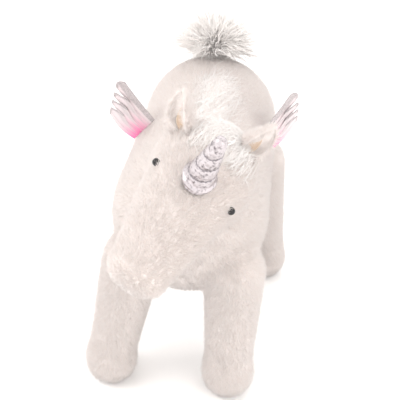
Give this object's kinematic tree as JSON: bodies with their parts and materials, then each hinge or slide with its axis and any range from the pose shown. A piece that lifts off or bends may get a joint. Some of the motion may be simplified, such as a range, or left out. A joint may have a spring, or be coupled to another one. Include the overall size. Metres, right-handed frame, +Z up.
{
  "type": "plush unicorn",
  "caption": "Standing stuffed unicorn in white plush with a silver spiral horn, small silver and pink wings, a long-pile mane and a tail plume; soft limbs flex where they are sewn on.",
  "frame": {"origin": "on the floor, under the middle of the toy's outer box", "axes": "+Z up; the toy faces -Y; its own left side is +X"},
  "size_m": [0.2347, 0.4169, 0.3903],
  "materials": {
    "plush": "short dense white plush",
    "long_pile": "long white pile",
    "sole_cloth": "short white plush",
    "filling": "polyester fibre filling",
    "ear_lining": "short beige plush",
    "silver_cloth": "crinkled metallic silver cloth",
    "silver_thread": "twisted metallic thread",
    "wing_cloth": "pale pink sheer cloth with silver print",
    "wing_core": "stiff felted interlining",
    "eye": "polished black",
    "eye_washer": "moulded white"
  },
  "bodies": {
    "torso": {"belly_gusset": "plush", "mane": "long_pile", "torso_cover_left": "plush", "torso_cover_right": "plush", "torso_stuffing": "filling"},
    "neck": {"neck_cover": "plush", "neck_stuffing": "filling"},
    "head": {"eye_left": "eye", "eye_left_washer": "eye_washer", "eye_right": "eye", "eye_right_washer": "eye_washer", "forelock": "long_pile", "head_centre_strip": "plush", "head_side_left": "plush", "head_side_right": "plush", "head_stuffing": "filling", "horn_binding": "silver_thread", "horn_cover": "silver_cloth", "horn_stuffing": "filling"},
    "tail": {"tail_cover": "plush", "tail_plume": "long_pile", "tail_stuffing": "filling"},
    "ear_left": {"ear_left_lining": "ear_lining", "ear_left_outer": "plush"},
    "wing_left": {"wing_left_back": "wing_cloth", "wing_left_core": "wing_core", "wing_left_front": "wing_cloth"},
    "ear_right": {"ear_right_lining": "ear_lining", "ear_right_outer": "plush"},
    "wing_right": {"wing_right_back": "wing_cloth", "wing_right_core": "wing_core", "wing_right_front": "wing_cloth"},
    "leg_front_left": {"leg_front_left_cover": "plush", "leg_front_left_sole": "sole_cloth", "leg_front_left_stuffing": "filling"},
    "leg_front_right": {"leg_front_right_cover": "plush", "leg_front_right_sole": "sole_cloth", "leg_front_right_stuffing": "filling"},
    "leg_rear_left": {"leg_rear_left_cover": "plush", "leg_rear_left_sole": "sole_cloth", "leg_rear_left_stuffing": "filling"},
    "leg_rear_right": {"leg_rear_right_cover": "plush", "leg_rear_right_sole": "sole_cloth", "leg_rear_right_stuffing": "filling"}
  },
  "joints": [
    {"name": "neck_turn", "type": "hinge", "parent": "torso", "child": "neck", "pos_m": [0.0235, -0.0983, 0.2954], "axis": [0, 0, 1], "range_deg": [-14, 14], "stiffness_Nm_per_rad": 1.5},
    {"name": "head_nod", "type": "hinge", "parent": "neck", "child": "head", "pos_m": [0.0235, -0.0983, 0.2954], "axis": [0.8949, -0.4462, 0], "range_deg": [-14, 8], "stiffness_Nm_per_rad": 1.5},
    {"name": "ear_left_flop", "type": "hinge", "parent": "head", "child": "ear_left", "pos_m": [0.06871, -0.08575, 0.33577], "axis": [0.3336, 0.353, -0.8741], "range_deg": [-20, 20], "stiffness_Nm_per_rad": 0.02},
    {"name": "ear_right_flop", "type": "hinge", "parent": "head", "child": "ear_right", "pos_m": [0.00932, -0.09398, 0.3555], "axis": [0.7011, -0.5887, 0.4024], "range_deg": [-20, 20], "stiffness_Nm_per_rad": 0.02},
    {"name": "wing_left_fold", "type": "hinge", "parent": "torso", "child": "wing_left", "pos_m": [0.08044, 0.051, 0.25888], "axis": [0.3314, 0.5797, -0.7444], "range_deg": [-25, 25], "stiffness_Nm_per_rad": 0.05},
    {"name": "wing_right_fold", "type": "hinge", "parent": "torso", "child": "wing_right", "pos_m": [-0.067, 0.028, 0.27608], "axis": [-0.6463, 0.1719, -0.7435], "range_deg": [-25, 25], "stiffness_Nm_per_rad": 0.05},
    {"name": "tail_wag", "type": "hinge", "parent": "torso", "child": "tail", "pos_m": [0, 0.1534, 0.30954], "axis": [0, 1, 0], "range_deg": [-20, 20], "stiffness_Nm_per_rad": 0.1},
    {"name": "leg_front_left_swing", "type": "hinge", "parent": "torso", "child": "leg_front_left", "pos_m": [0.057, -0.0827, 0.166], "axis": [1, 0, 0], "range_deg": [-12, 12], "stiffness_Nm_per_rad": 2},
    {"name": "leg_front_right_swing", "type": "hinge", "parent": "torso", "child": "leg_front_right", "pos_m": [-0.058, -0.0827, 0.168], "axis": [1, 0, 0], "range_deg": [-12, 12], "stiffness_Nm_per_rad": 2},
    {"name": "leg_rear_left_swing", "type": "hinge", "parent": "torso", "child": "leg_rear_left", "pos_m": [0.06, 0.1273, 0.185], "axis": [1, 0, 0], "range_deg": [-12, 12], "stiffness_Nm_per_rad": 2},
    {"name": "leg_rear_right_swing", "type": "hinge", "parent": "torso", "child": "leg_rear_right", "pos_m": [-0.06, 0.1273, 0.185], "axis": [1, 0, 0], "range_deg": [-12, 12], "stiffness_Nm_per_rad": 2}
  ]
}
